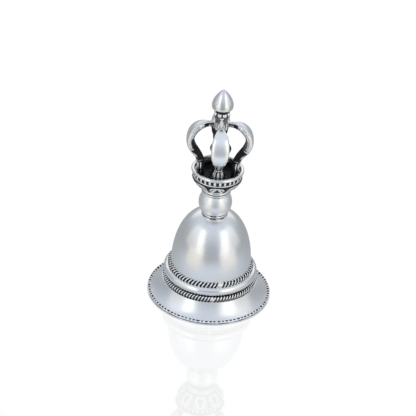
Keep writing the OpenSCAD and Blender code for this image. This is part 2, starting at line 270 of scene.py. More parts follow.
class Nodes:
    """A node tree, and the one method that adds a node to it."""

    def __init__(self, tree):
        self.tree = tree

    def add(self, kind, settings=None, values=None):
        node = self.tree.nodes.new(kind)
        for name, value in (settings or {}).items():
            setattr(node, name, value)
        for key, value in (values or {}).items():
            if isinstance(key, int):
                socket = node.inputs[key]
            else:
                socket = next(s for s in node.inputs if s.name == key and s.enabled)
            if isinstance(value, Wire):
                self.tree.links.new(value.socket, socket)
            else:
                socket.default_value = value
        outputs = [s for s in node.outputs if s.enabled]
        return Wire(self.tree, outputs[0]) if outputs else None

    def vector(self, x, y, z):
        return self.add("ShaderNodeCombineXYZ", None, {"X": x, "Y": y, "Z": z})

    def blend(self, factor, first, second):
        """A colour between two colours."""
        colours_in = {"Factor": factor, "A": first, "B": second}
        return self.add("ShaderNodeMix", {"data_type": "RGBA"}, colours_in)


def blank_nodes(owner):
    """The emptied node tree of a material or a world."""
    owner.use_nodes = True
    owner.node_tree.nodes.clear()
    return Nodes(owner.node_tree)


def show(name, data):
    """A new object for this data, in the scene and at the origin."""
    thing = bpy.data.objects.new(name, data)
    bpy.context.scene.collection.objects.link(thing)
    return thing


# ---------------------------------------------------------------- silver finishes


def silver(name, rough=0.3, grain=0.02, dents=0.0, lines=0.0, tone=1.0, patina=1.0, haze=0.0):
    """Silver with blackened recesses.

    rough is the polish, grain the fine satin, dents the slow unevenness of hand work and
    lines the turning marks. patina is how much of a recess is blackened, haze the thin
    film that stays on open surfaces.
    """
    if name in FINISHES:
        return FINISHES[name]
    material = bpy.data.materials.new(name)
    FINISHES[name] = material
    nodes = blank_nodes(material)
    place = nodes.add("ShaderNodeTexCoord")["Object"]

    def noise(scale, detail=3.0, roughness=0.55):
        return nodes.add(
            "ShaderNodeTexNoise", {"noise_dimensions": "3D"},
            {"Vector": place, "Scale": scale, "Detail": detail, "Roughness": roughness},
        )

    speckle = noise(2600.0, 4.0, 0.6)
    cloud = noise(260.0, 3.0, 0.5)
    slow = noise(95.0, 2.0, 0.45)
    hollow = nodes.add("ShaderNodeAttribute", {"attribute_name": RECESS})["Fac"]
    edge = hollow + (speckle - 0.5) * 0.34 + (cloud - 0.5) * 0.16
    black = edge.ramp(0.42, 0.64) * patina
    film = (cloud * 0.6 + speckle * 0.4).ramp(0.48, 0.74) * (0.03 + haze)
    dull = black.most(film)

    clean = tuple(tone * c for c in colours().silver) + (1.0,)
    warm = (clean[0], clean[1] * 0.985, clean[2] * 0.95, 1.0)
    shade = nodes.blend(slow.ramp(0.35, 0.65), clean, warm)
    oxide = tuple(colours().oxide) + (1.0,)
    brown = (0.03, 0.027, 0.024, 1.0)
    base = nodes.blend(dull, shade, nodes.blend(cloud.ramp(0.4, 0.6), oxide, brown))

    gloss = rough + (speckle - 0.5) * 0.04 + (cloud - 0.5) * 0.06
    gloss = gloss + black * 0.22
    metal = 1.0 - black * 0.55

    parts = nodes.add("ShaderNodeSeparateXYZ", None, {"Vector": place})
    turned = nodes.add(
        "ShaderNodeTexNoise", {"noise_dimensions": "1D"},
        {"W": parts["Z"], "Scale": 5200.0, "Detail": 2.0},
    )
    relief = speckle * grain + slow * dents + cloud * dents * 0.25 + turned * lines + black * -0.012
    bump = nodes.add("ShaderNodeBump", None, {"Height": relief, "Strength": 1.0, "Distance": MM})
    shader = nodes.add(
        "ShaderNodeBsdfPrincipled", None,
        {"Base Color": base, "Metallic": metal, "Roughness": gloss, "Normal": bump},
    )
    nodes.add("ShaderNodeOutputMaterial", None, {"Surface": shader})
    return material


def satin_silver():
    """The wide, softly polished surfaces of the bell."""
    return silver("satin_metal", rough=0.27, grain=0.0008, dents=0.12, lines=0.0006)


def bright_silver():
    """The polished rings and the drop."""
    return silver("bright_metal", rough=0.22, grain=0.002, dents=0.05)


def brushed_silver():
    """The ball, brushed by handling."""
    return silver("brushed_metal", rough=0.36, grain=0.002, dents=0.06, tone=1.04)


def prong_silver(side):
    """A prong, brushed like the ball, with painted light: each side a little brighter or duller."""
    return silver("prong_metal_" + side, rough=0.31, grain=0.002, dents=0.06, tone=PRONG_PAINTED_LIGHT[side])


def chased_silver():
    """The beads, ropes and petals."""
    return silver("chased_metal", rough=0.30, grain=0.004, dents=0.03, haze=0.02, tone=1.09)


def oxidised_silver():
    """The parts that are left mostly black."""
    return silver("oxidised_metal", rough=0.33, grain=0.008, dents=0.04, haze=0.05)


def plain_silver():
    """The unpolished parts inside the bell."""
    return silver("plain_metal", rough=0.36, grain=0.01, dents=0.05, haze=0.12, tone=0.92)


# ---------------------------------------------------------------- meshes


def solid(name, points, faces, hollows, crease=35):
    """A closed mesh from points in millimetres, with the share of recess at each point.

    Edges sharper than crease, in degrees, stay sharp.
    """
    work = bmesh.new()
    depth = work.verts.layers.float.new(RECESS)
    corners = []
    for point, hollow in zip(points, hollows):
        corner = work.verts.new(Vector(point) * MM)
        corner[depth] = hollow
        corners.append(corner)
    for face in faces:
        work.faces.new([corners[i] for i in face])
    bmesh.ops.remove_doubles(work, verts=work.verts, dist=2e-7)
    bmesh.ops.dissolve_degenerate(work, edges=work.edges, dist=1e-7)
    bmesh.ops.recalc_face_normals(work, faces=work.faces)
    mesh = bpy.data.meshes.new(name)
    work.to_mesh(mesh)
    work.free()
    mesh.shade_smooth()
    mesh.set_sharp_from_angle(angle=math.radians(crease))
    return show(name, mesh)


def place(piece, material, slot, *nodes, body="bell"):
    """The finished piece gets its metal, rides its body and stands for its nodes."""
    piece.data.materials.clear()
    piece.data.materials.append(material)
    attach(piece, body)
    if nodes:
        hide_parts(*nodes)
    return piece


def soften(outline, steps=5):
    """Rounds the corners of an outline: each (r, z, rounding) becomes a short curve."""
    result = []
    count = len(outline)
    for i, corner in enumerate(outline):
        here = Vector(corner[:2])
        rounding = corner[2] if len(corner) > 2 else 0.0
        if rounding <= 0:
            result.append(tuple(here))
            continue
        before = Vector(outline[i - 1][:2]) - here
        after = Vector(outline[(i + 1) % count][:2]) - here
        start = here + before.normalized() * min(rounding, before.length * 0.5)
        end = here + after.normalized() * min(rounding, after.length * 0.5)
        for k in range(steps + 1):
            u = k / steps
            result.append(tuple((1 - u) ** 2 * start + 2 * u * (1 - u) * here + u * u * end))
    return result


def arc(middle, radius, start, end, steps):
    """Points of an arc in the (r, z) plane, angles in degrees."""
    angles = [math.radians(start + (end - start) * k / steps) for k in range(steps + 1)]
    return [(middle[0] + radius * math.cos(a), middle[1] + radius * math.sin(a)) for a in angles]


def bowed(start, end, sag, steps):
    """Points of a shallow arc from start to end, bowed to the left of its chord."""
    start, end = Vector(start), Vector(end)
    along = end - start
    side = Vector((-along.y, along.x)).normalized()
    points = []
    for k in range(steps + 1):
        u = k / steps
        points.append(tuple(start + along * u + side * (4 * sag * u * (1 - u))))
    return points


def spun(name, outline, turns=144, hollow=None, wobble=None, crease=35):
    """Turns a closed (r, z) outline round the bell's axis.

    hollow(r, z, angle) gives the recess and wobble(r, z, angle) a change of radius.
    """
    points, hollows, faces = [], [], []
    rows = len(outline)
    for i in range(turns):
        angle = FULL_TURN * i / turns
        for r, z in outline:
            radius = r + (wobble(r, z, angle) if wobble and r > 0.01 else 0.0)
            points.append((radius * math.cos(angle), radius * math.sin(angle), z))
            hollows.append(hollow(r, z, angle) if hollow else 0.0)
    on_axis = [r < 1e-6 for r, z in outline]
    for i in range(turns):
        this, after = i * rows, (i + 1) % turns * rows
        for j in range(rows):
            k = (j + 1) % rows
            if on_axis[j] and on_axis[k]:
                continue
            if on_axis[j]:
                faces.append((this + j, after + k, this + k))
            elif on_axis[k]:
                faces.append((this + j, after + j, this + k))
            else:
                faces.append((this + j, after + j, after + k, this + k))
    return solid(name, points, faces, hollows, crease)


def step_up(value, start, end):
    """A smooth step from 0 at start to 1 at end."""
    u = max(0.0, min(1.0, (value - start) / (end - start)))
    return u * u * (3 - 2 * u)


def bell_curve(value, middle, width):
    """A soft bump of height 1."""
    return math.exp(-(((value - middle) / width) ** 2))


def table(value, stops):
    """Smooth reading of a list of (place, size) pairs."""
    if value <= stops[0][0]:
        return stops[0][1]
    for (x0, y0), (x1, y1) in zip(stops, stops[1:]):
        if value <= x1:
            u = (value - x0) / (x1 - x0)
            return y0 + (y1 - y0) * (0.5 - 0.5 * math.cos(math.pi * u))
    return stops[-1][1]


def swept(name, stations, turn=0.0, crease=50):
    """A closed solid through rings of points.

    A station is (middle, outward, ring, hollows): middle and outward in the (r, z) plane,
    and ring the (across, out) points of the section there.
    """
    points, hollows, faces = [], [], []
    count = len(stations[0][2])
    cosine, sine = math.cos(turn), math.sin(turn)
    for middle, outward, ring, depths in stations:
        for (across, out), depth in zip(ring, depths):
            r = middle[0] + outward[0] * out
            z = middle[1] + outward[1] * out
            points.append((r * cosine - across * sine, r * sine + across * cosine, z))
            hollows.append(depth)
    for i in range(len(stations) - 1):
        for j in range(count):
            k = (j + 1) % count
            faces.append((i * count + j, i * count + k, (i + 1) * count + k, (i + 1) * count + j))
    last = (len(stations) - 1) * count
    for base in (0, last):
        ring = range(base, base + count)
        middle = sum((Vector(points[i]) for i in ring), Vector()) / count
        points.append(tuple(middle))
        hollows.append(sum(hollows[i] for i in ring) / count)
        hub = len(points) - 1
        for j in range(count):
            faces.append((base + j, base + (j + 1) % count, hub))
    return solid(name, points, faces, hollows, crease)


# ---------------------------------------------------------------- repeated parts


def new_tree(name, inputs):
    """A geometry tree with named inputs: (name, kind, default)."""
    tree = bpy.data.node_groups.new(name, "GeometryNodeTree")
    tree.interface.new_socket("Geometry", in_out="OUTPUT", socket_type="NodeSocketGeometry")
    tree.interface.new_socket("Geometry", in_out="INPUT", socket_type="NodeSocketGeometry")
    for label, kind, default in inputs:
        socket = tree.interface.new_socket(label, in_out="INPUT", socket_type="NodeSocket" + kind)
        if default is not None:
            socket.default_value = default
    return tree


def end_tree(nodes, geometry, material):
    """The last nodes of every tree: real meshes with their material."""
    whole = nodes.add("GeometryNodeRealizeInstances", None, {"Geometry": geometry})
    done = nodes.add("GeometryNodeSetMaterial", None, {"Geometry": whole, "Material": material})
    nodes.add("NodeGroupOutput", None, {"Geometry": done})


def grow(name, tree, values):
    """Runs a geometry tree and returns its result as a plain mesh object."""
    piece = show(name, bpy.data.meshes.new(name))
    modifier = piece.modifiers.new(tree.name, "NODES")
    modifier.node_group = tree
    for item in tree.interface.items_tree:
        if item.in_out == "INPUT" and item.name in values:
            modifier[item.identifier] = values[item.name]
    depsgraph = bpy.context.evaluated_depsgraph_get()
    result = bpy.data.meshes.new_from_object(
        piece.evaluated_get(depsgraph), preserve_all_data_layers=True, depsgraph=depsgraph
    )
    piece.modifiers.clear()
    piece.data = result
    result.name = name
    return piece


def parts_ring_tree():
    """Sets one part at even steps round the axis, with a little unevenness."""
    name = "Ring of parts"
    if name in bpy.data.node_groups:
        return bpy.data.node_groups[name]
    tree = new_tree(name, [
        ("Part", "Object", None),
        ("Count", "Int", 8),
        ("Radius", "Float", 0.01),
        ("Height", "Float", 0.0),
        ("First Angle", "Float", 0.0),
        ("Tilt", "Float", 0.0),
        ("Uneven Size", "Float", 0.0),
        ("Uneven Place", "Float", 0.0),
        ("Seed", "Int", 1),
        ("Material", "Material", None),
    ])
    nodes = Nodes(tree)
    given = nodes.add("NodeGroupInput")
    index = nodes.add("GeometryNodeInputIndex")
    seed = given["Seed"]

    def chance(low, high, shift):
        return nodes.add(
            "FunctionNodeRandomValue", {"data_type": "FLOAT"},
            {"Min": low, "Max": high, "ID": index, "Seed": seed + shift},
        )

    slip = chance(-1.0, 1.0, 1.0) * given["Uneven Place"]
    angle = given["First Angle"] + (index + slip) * FULL_TURN / given["Count"]
    radius = given["Radius"]
    spot = nodes.vector(radius * angle.cos(), radius * angle.sin(), given["Height"])
    points = nodes.add("GeometryNodePoints", None, {"Count": given["Count"], "Position": spot})
    uneven = given["Uneven Size"]
    size = nodes.vector(
        1.0 + chance(-1.0, 1.0, 2.0) * uneven,
        1.0 + chance(-1.0, 1.0, 3.0) * uneven,
        1.0 + chance(-1.0, 1.0, 4.0) * uneven,
    )
    turn = nodes.add(
        "FunctionNodeEulerToRotation", None, {"Euler": nodes.vector(0.0, given["Tilt"], angle)}
    )
    part = nodes.add(
        "GeometryNodeObjectInfo", {"transform_space": "ORIGINAL"}, {"Object": given["Part"]}
    )["Geometry"]
    laid = nodes.add(
        "GeometryNodeInstanceOnPoints", None,
        {"Points": points, "Instance": part, "Rotation": turn, "Scale": size},
    )
    end_tree(nodes, laid, given["Material"])
    return tree


def rope_tree():
    """Strands wound round a ring of wire over a dark core, with one soldered seam."""
    name = "Rope wire"
    if name in bpy.data.node_groups:
        return bpy.data.node_groups[name]
    tree = new_tree(name, [
        ("Radius", "Float", 0.0127),
        ("Height", "Float", 0.006),
        ("Thickness", "Float", 0.0015),
        ("Strands", "Int", 2),
        ("Turns", "Int", 32),
        ("Strand Share", "Float", 0.40),
        ("Core Share", "Float", 0.60),
        ("Seam Angle", "Float", 0.0),
        ("Seam Width", "Float", 0.1),
        ("Points", "Int", 480),
        ("Material", "Material", None),
    ])
    nodes = Nodes(tree)
    given = nodes.add("NodeGroupInput")
    half = given["Thickness"] / 2.0
    strand = half * given["Strand Share"]
    wound = half - strand

    def here():
        position = nodes.add("GeometryNodeInputPosition")
        return nodes.add("ShaderNodeSeparateXYZ", None, {"Vector": position})

    def bearing(spot):
        return spot["X"].maths("ARCTAN2", spot["Y"], spot["X"])

    def seam_here(angle):
        apart = (angle - given["Seam Angle"]).size()
        return 1.0 - (apart / given["Seam Width"]).ramp(0.35, 1.0)

    def circle(points, radius):
        return nodes.add(
            "GeometryNodeCurvePrimitiveCircle", {"mode": "RADIUS"},
            {"Resolution": points, "Radius": radius},
        )

    ring = circle(given["Points"], 1.0)
    copies = nodes.add(
        "GeometryNodeDuplicateElements", {"domain": "SPLINE"},
        {"Geometry": ring, "Amount": given["Strands"]},
    )
    angle = bearing(here())
    phase = angle * given["Turns"] + copies["Duplicate Index"] * FULL_TURN / given["Strands"]
    radius = given["Radius"] + wound * phase.cos()
    path = nodes.vector(radius * angle.cos(), radius * angle.sin(), given["Height"] + wound * phase.sin())
    laid = nodes.add("GeometryNodeSetPosition", None, {"Geometry": copies, "Position": path})
    strands = nodes.add(
        "GeometryNodeCurveToMesh", None,
        {"Curve": laid, "Profile Curve": circle(8, strand), "Scale": 1.0 + 0.12 * seam_here(angle)},
    )
    raised = nodes.add(
        "GeometryNodeSetPosition", None,
        {"Geometry": circle(180, given["Radius"]), "Offset": nodes.vector(0.0, 0.0, given["Height"])},
    )
    swell = 1.0 + 0.5 * seam_here(bearing(here()))
    core = nodes.add(
        "GeometryNodeCurveToMesh", None,
        {"Curve": raised, "Profile Curve": circle(12, half * given["Core Share"]), "Scale": swell},
    )
    both = nodes.add("GeometryNodeJoinGeometry", None, {"Geometry": strands})
    tree.links.new(core.socket, both.socket.node.inputs[0])
    spot = here()
    off_ring = (spot["X"] * spot["X"] + spot["Y"] * spot["Y"]).root() - given["Radius"]
    off_level = spot["Z"] - given["Height"]
    reach = (off_ring * off_ring + off_level * off_level).root() / half
    hollow = (1.0 - reach.ramp(0.87, 0.965)) * (1.0 - 0.6 * seam_here(bearing(spot)))
    marked = nodes.add(
        "GeometryNodeStoreNamedAttribute", {"data_type": "FLOAT", "domain": "POINT"},
        {"Geometry": both, "Name": RECESS, "Value": hollow},
    )
    smooth = nodes.add("GeometryNodeSetShadeSmooth", None, {"Geometry": marked, "Shade Smooth": True})
    end_tree(nodes, smooth, given["Material"])
    return tree


def bead_shadow(around):
    """Share of black at a place round a rim bead's section."""
    return step_up(math.cos(around - BEAD_SHADE), 0.10, 0.35)


def bead_part(name, across, around, high, flat=0.55, rings=7, segments=10, inner_only=False):
    """A small bead at the origin: x is outward, y along the row. Its sides are in recess.

    With inner_only the sides stay bright toward the outside and below.
    """
    outline = [(0.0, -1.0)]
    for k in range(1, rings):
        a = math.pi * (k / rings - 0.5)
        outline.append((math.cos(a), math.sin(a)))
    outline.append((0.0, 1.0))
    points, hollows, faces = [], [], []
    rows = len(outline)
    for i in range(segments):
        angle = FULL_TURN * i / segments
        for r, y in outline:
            points.append((across * r * math.cos(angle), around * y, high * r * math.sin(angle)))
            shaded = bead_shadow(angle) if inner_only else 1.0
            hollows.append(step_up(abs(y), flat, 0.98) * shaded)
    for i in range(segments):
        this, after = i * rows, (i + 1) % segments * rows
        for j in range(rows - 1):
            faces.append((this + j, after + j, after + j + 1, this + j + 1))
    return solid(name, points, faces, hollows)


def ring_of(name, part, material, **values):
    """A ring of one part as a plain mesh; the loose part is cleared away."""
    inputs = {"Part": part, "Material": material}
    inputs.update({label.replace("_", " "): value for label, value in values.items()})
    piece = grow(name, parts_ring_tree(), inputs)
    bpy.data.objects.remove(part)
    return piece


def join(name, pieces):
    """Joins several plain meshes into one object."""
    work = bmesh.new()
    for piece in pieces:
        work.from_mesh(piece.data)
    mesh = bpy.data.meshes.new(name)
    work.to_mesh(mesh)
    work.free()
    for piece in pieces:
        bpy.data.objects.remove(piece)
    return show(name, mesh)


def rough_edge(angle, seed=0.0):
    """A repeatable uneven number between -1 and 1 that runs round the bell."""
    return (
        0.5 * math.sin(7 * angle + seed)
        + 0.3 * math.sin(17 * angle + 2.1 * seed)
        + 0.2 * math.sin(41 * angle + 3.7 * seed)
    )


# ---------------------------------------------------------------- the bell's pieces


class PieceOperator:
    """What every piece's operator shares."""

    bl_options = {"REGISTER", "UNDO"}

    def execute(self, context):
        self.build()
        return {"FINISHED"}


class HANDBELL_OT_skirt(PieceOperator, bpy.types.Operator):
    """Flared skirt with the ledge that carries the lower rope"""

    bl_idname = "hand_bell.skirt"
    bl_label = "Flared skirt"

    def build(self):
        wall = sizes().wall
        edge_r = highest("flared_skirt").x
        ledge_r = ROPE_LOW.radius + ROPE_LOW.thick / 2
        collar_r = ROPE_LOW.radius - ROPE_LOW.thick / 2 - 0.02
        foot_h = EDGE_H + 0.36
        bore_r = WAIST_R - wall
        ledge_h = LEDGE_H - LOW_ROPE_SINK
        outer = bowed((edge_r, foot_h), (ledge_r, ledge_h), 0.34, 30)
        outline = [(edge_r - 0.9, 0.0), (edge_r, 0.0)] + outer[:-1]
        outline += soften([outer[-2], outer[-1] + (0.22,), (collar_r, ledge_h)])[1:-1]
        outline += [(ROPE_LOW.radius + 0.22, ledge_h), (ROPE_LOW.radius, ledge_h), (collar_r, ledge_h)]
        outline += [(collar_r, DOME_Z), (bore_r, DOME_Z), (bore_r, LEDGE_H + 0.3)]
        outline += bowed((bore_r + wall, LEDGE_H - wall), (edge_r - 0.9, 0.0), -0.34, 24)[:-1]

        def hollow(r, z, angle):
            if r < ROPE_LOW.radius + 0.1 and z > ledge_h - 0.1:
                return 1.0
            if z < 0.9 and r > RIM_R - 1.6:
                return 0.55 + 0.2 * rough_edge(angle, 1.0)
            return 0.34 if r < bore_r + wall * 0.6 else 0.0

        piece = spun("bell_skirt", outline, 192, hollow)
        place(piece, satin_silver(), "satin_silver", "flared_skirt")


class HANDBELL_OT_rim(PieceOperator, bpy.types.Operator):
    """Edge wire of the rim and the row of beads above it"""

    bl_idname = "hand_bell.rim"
    bl_label = "Rim wire and beads"

    def build(self):
        inner_r = -lowest("flared_skirt").x
        outline = soften([
            (inner_r, 0.0, 0.06), (RIM_R, 0.0, 0.14), (RIM_R, EDGE_H, 0.14), (inner_r, EDGE_H, 0.04),
        ])

        def hollow(r, z, angle):
            line = step_up(RIM_R - r, 0.12, 0.3) * step_up(z, EDGE_H * 0.6, EDGE_H)
            return line * (0.95 + 0.8 * rough_edge(angle * 3, 4.0))

        piece = spun("rim_edge_band", outline, 192, hollow)
        place(piece, bright_silver(), "chased_silver", "rim_edge_wire")

        count = sizes().rim_beads
        bead = bead_part("rim_bead", BEADING.thick * 0.5, FULL_TURN * BEADING.radius / count * 0.47,
                         BEADING.thick * 0.5, 0.12, 8, 16, True)
        beads = ring_of(
            "rim_bead_row", bead, chased_silver(), Count=count, Radius=BEADING.radius * MM,
            Height=BEADING.height * MM, First_Angle=FRONT, Uneven_Size=0.08, Uneven_Place=0.13, Seed=5,
        )
        core_r = BEADING.thick * 0.43

        def core_hollow(r, z, angle):
            return bead_shadow(math.atan2(z - BEADING.height, r - BEADING.radius))

        wire = arc((BEADING.radius, BEADING.height), core_r, 0, 345, 23)
        core = spun("bead_core", wire, 144, core_hollow)
        row = join("rim_beads", [beads, core])
        place(row, chased_silver(), "chased_silver", "rim_beading")


class HANDBELL_OT_ropes(PieceOperator, bpy.types.Operator):
    """The two rope wires round the waist"""

    bl_idname = "hand_bell.ropes"
    bl_label = "Rope wires"

    def build(self):
        rows = (
            ("lower_rope", "lower_rope_wire", ROPE_LOW, sizes().low_strokes, 3, 0.06, LOW_ROPE_SINK),
            ("upper_rope", "upper_rope_wire", ROPE_UP, sizes().up_strokes, 13, 0.085, 0.0),
        )
        for name, node, wire, turns, seam, width, sink in rows:
            piece = grow(name, rope_tree(), {
                "Radius": wire.radius * MM,
                "Height": (wire.height - sink) * MM,
                "Thickness": wire.thick * MM,
                "Turns": turns,
                "Seam Angle": FRONT + math.radians(seam),
                "Seam Width": width,
                "Points": turns * 16,
                "Material": chased_silver(),
            })
            place(piece, chased_silver(), "chased_silver", node)


class HANDBELL_OT_waist_band(PieceOperator, bpy.types.Operator):
    """Half-round band between the two ropes"""

    bl_idname = "hand_bell.waist_band"
    bl_label = "Waist band"

    def build(self):
        low_z = BAND_LOW - LOW_ROPE_SINK - 0.08
        half = (highest("waist_band").z - low_z) / 2
        middle = (BAND_R - half, low_z + half)
        inner = WAIST_R + 0.02
        outline = [(inner, low_z + 0.1)] + arc(middle, half, -86, 74, 28)
        outline += [(inner, middle[1] + half * 0.95)]

        def hollow(r, z, angle):
            if z > middle[1]:
                return 0.0 if r > middle[0] - 0.2 else 0.6
            return step_up(-z, -low_z - 0.5, -low_z - 0.3)

        piece = spun("waist_moulding", outline, 192, hollow)
        place(piece, bright_silver(), "satin_silver", "waist_band")


class HANDBELL_OT_dome(PieceOperator, bpy.types.Operator):
    """Raised dome of the bell"""

    bl_idname = "hand_bell.dome"
    bl_label = "Dome"

    def build(self):
        wall = sizes().wall
        foot_h = 2.6
        curve_h = CROWN_Z - DOME_Z - foot_h + 0.5
        foot = DOME_Z + foot_h

        def side(radius, top, steps=44):
            points = []
            for k in range(steps + 1):
                z = (top - foot) * (1 - (1 - k / steps) ** 1.6)
                points.append((radius * (1 - (z / curve_h) ** 2.15) ** (1 / 2.55), foot + z))
            return points

        outline = [(WAIST_R, DOME_Z)] + side(WAIST_R, CROWN_Z)
        outline += [(ROD_R, CROWN_Z), (ROD_R, CROWN_Z - wall)]
        outline += list(reversed(side(WAIST_R - wall, CROWN_Z - wall))) + [(WAIST_R - wall, DOME_Z)]
        middle_of_wall = [(z, r) for r, z in side(WAIST_R - wall * 0.5, CROWN_Z - wall * 0.5)]

        def hollow(r, z, angle):
            inside = r < WAIST_R - wall * 0.5 and z < CROWN_Z - wall * 0.6
            if inside and r < table(z, middle_of_wall):
                return 0.36
            seat = bell_curve(z, ROPE_UP.height + 0.5, 0.32)
            top = step_up(COLLAR_R + 0.35 - r, 0.0, 0.3) if z > CROWN_Z - 0.6 else 0.0
            return max(0.34 * seat * (1 + 0.4 * rough_edge(angle, 3.0)), 0.8 * top)

        piece = spun("dome", outline, 224, hollow)
        place(piece, satin_silver(), "satin_silver", "dome_shell")


class HANDBELL_OT_neck(PieceOperator, bpy.types.Operator):
    """Collar, ball and ring of the neck"""

    bl_idname = "hand_bell.neck"
    bl_label = "Neck"

    def build(self):
        groove_r = 2.9
        mid = CROWN_Z + 0.55 * (BALL_Z0 - CROWN_Z)
        collar = soften([
            (ROD_R, CROWN_Z), (COLLAR_R, CROWN_Z, 0.12), (COLLAR_R - 0.25, mid, 0.14), (groove_r, mid),
            (groove_r, BALL_Z0), (ROD_R, BALL_Z0),
        ])

        def collar_hollow(r, z, angle):
            patchy = 0.6 + 1.5 * rough_edge(angle, 1.3)
            gap = step_up(COLLAR_R - r, 0.28, 0.5) * step_up(z, mid - 0.2, mid - 0.05)
            seam = 0.35 * step_up(CROWN_Z + 0.09 - z, 0.0, 0.09) * (1 + rough_edge(angle, 6.0))
            return max(gap * (0.6 + patchy), seam)

        piece = spun("neck_collar_ring", collar, 128, collar_hollow)
        place(piece, bright_silver(), "bright_silver", "neck_collar")

        seat_r = 3.15
        foot_r = 3.7
        middle = RING_Z - math.sqrt(BALL_R ** 2 - seat_r ** 2)
        start = -math.degrees(math.acos(foot_r / BALL_R))
        end = math.degrees(math.acos(seat_r / BALL_R))
        ball = [(ROD_R, BALL_Z0)] + arc((0.0, middle), BALL_R, start, end, 40) + [(ROD_R, RING_Z)]

        def ball_hollow(r, z, angle):
            foot = step_up(BALL_Z0 + 0.46 - z, 0.0, 0.2) * (0.75 + 1.5 * rough_edge(angle, 1.3))
            top = step_up(z, RING_Z - 0.22, RING_Z - 0.05)
            return max(foot, top) * (0.9 + 0.3 * rough_edge(angle, 8.0))

        piece = spun("neck_ball", ball, 144, ball_hollow)
        place(piece, brushed_silver(), "bright_silver", "ball_knob")

        high = CUP_Z - RING_Z
        ring = soften([
            (ROD_R, RING_Z), (RING_R - 0.05, RING_Z, 0.2), (RING_R, RING_Z + 0.26, 0.18),
            (RING_R - 0.1, RING_Z + 0.5, 0.12), (RING_R - 0.42, RING_Z + 0.60, 0.06),
            (RING_R - 0.1, RING_Z + 0.70, 0.12), (RING_R, RING_Z + high - 0.42, 0.2),
            (RING_R - 0.12, RING_Z + high - 0.06, 0.2), (RING_R - 0.5, CUP_Z, 0.1), (ROD_R, CUP_Z),
        ])

        def ring_hollow(r, z, angle):
            groove = bell_curve(z, RING_Z + 0.60, 0.14) * (0.95 + 0.45 * rough_edge(angle, 9.0))
            foot = step_up(RING_Z + 0.09 - z, 0.0, 0.09)
            top = step_up(z, CUP_Z - 0.1, CUP_Z - 0.03)
            return max(groove, foot, top)

        piece = spun("neck_double_ring", ring, 128, ring_hollow)
        place(piece, bright_silver(), "bright_silver", "neck_ring")


class CupShape:
    """Outline of the lotus cup, read from the frame."""

    def __init__(self):
        self.lip_z = lowest("cup_rim_ring").z
        self.band_top = highest("cup_bead_band").z
        self.band_low = lowest("cup_bead_band").z
        self.band_r = CUP_R - 0.8
        self.belly_r = self.band_r + 0.2
        self.foot_r = RING_R - 0.1
        self.dish_r = self.band_r - 0.55
        self.top = self.band_low - 0.35

    def side(self, z):
        """Radius of the cup's belly at a height."""
        u = max(0.0, min(1.0, (z - CUP_Z) / (self.top - CUP_Z)))
        return self.foot_r + (self.belly_r - self.foot_r) * math.sin(math.pi / 2 * u ** 1.1)


class HANDBELL_OT_cup(PieceOperator, bpy.types.Operator):
    """Lotus cup and its thick rim ring"""

    bl_idname = "hand_bell.cup"
    bl_label = "Lotus cup"

    def build(self):
        cup = CupShape()
        rail = cup.belly_r - 0.19
        levels = [CUP_Z + (cup.top - CUP_Z) * k / 24 for k in range(25)]
        side = [(cup.side(z), z) for z in levels]
        rail_arc = arc((rail + 0.03, cup.band_low - 0.27), 0.16, -80, 80, 8)
        outline = [(ROD_R, CUP_Z)] + side + [(cup.belly_r - 0.25, cup.band_low - 0.42)] + rail_arc
        outline += [(cup.band_r, cup.band_low - 0.12), (cup.band_r, cup.lip_z), (cup.dish_r, cup.lip_z)]
        round_r = 0.4
        outline += [(cup.dish_r, DISH_Z + round_r)]
        outline += arc((cup.dish_r - round_r, DISH_Z + round_r), round_r, -15, -90, 6)
        outline += [(ROD_R, DISH_Z)]

        def hollow(r, z, angle):
            if r > rail - 0.02 and cup.band_low - 0.43 < z < cup.band_low - 0.10:
                return 0.0
            if z < CUP_Z + 0.28 and r > cup.foot_r - 0.3:
                return 0.25
            if r > cup.belly_r - 0.4 and z > cup.top - 0.6:
                return 1.0
            if r < cup.band_r - 0.4 and z > cup.lip_z - 0.9:
                return 0.40 + 0.25 * rough_edge(angle, 2.0)
            if r < cup.dish_r - 0.3 and z > DISH_Z - 0.1:
                return 0.65
            return 0.9

        piece = spun("cup_bowl", outline, 160, hollow)
        place(piece, oxidised_silver(), "oxidised_silver", "lotus_cup")

        half = 0.5
        middle = (CUP_R - half, CUP_TOP - half)
        start = -math.degrees(math.asin((middle[1] - cup.lip_z) / half))
        ring = arc(middle, half, start, 180 - start, 30)

        def ring_hollow(r, z, angle):
            return step_up(cup.lip_z + 0.16 - z, 0.0, 0.14)

        piece = spun("cup_rim", ring, 160, ring_hollow)
        place(piece, bright_silver(), "bright_silver", "cup_rim_ring")


class HANDBELL_OT_cup_beads(PieceOperator, bpy.types.Operator):
    """Band of beads under the cup's rim"""

    bl_idname = "hand_bell.cup_beads"
    bl_label = "Cup beads"

    def build(self):
        cup = CupShape()
        high = cup.band_top - cup.band_low
        bead = bead_part("cup_bead", 0.50, 0.50, high * 0.5 + 0.1, 0.28, 8, 12)
        count = sizes().cup_beads
        beads = ring_of(
            "cup_bead_row", bead, chased_silver(), Count=count, Radius=cup.band_r * MM,
            Height=(cup.band_low + high / 2 - 0.04) * MM, First_Angle=FRONT + math.pi / count,
            Uneven_Size=0.05, Uneven_Place=0.05, Seed=3,
        )
        inner, outer = cup.band_r + 0.02, cup.band_r + 0.12
        foot = cup.band_low - 0.12
        hoop = [(inner, foot), (outer, foot), (outer, cup.band_top), (inner, cup.band_top)]
        strip = spun("cup_strip", hoop, 144, lambda *a: 1.0)
        band = join("cup_bead_row", [beads, strip])
        place(band, chased_silver(), "chased_silver", "cup_bead_band")


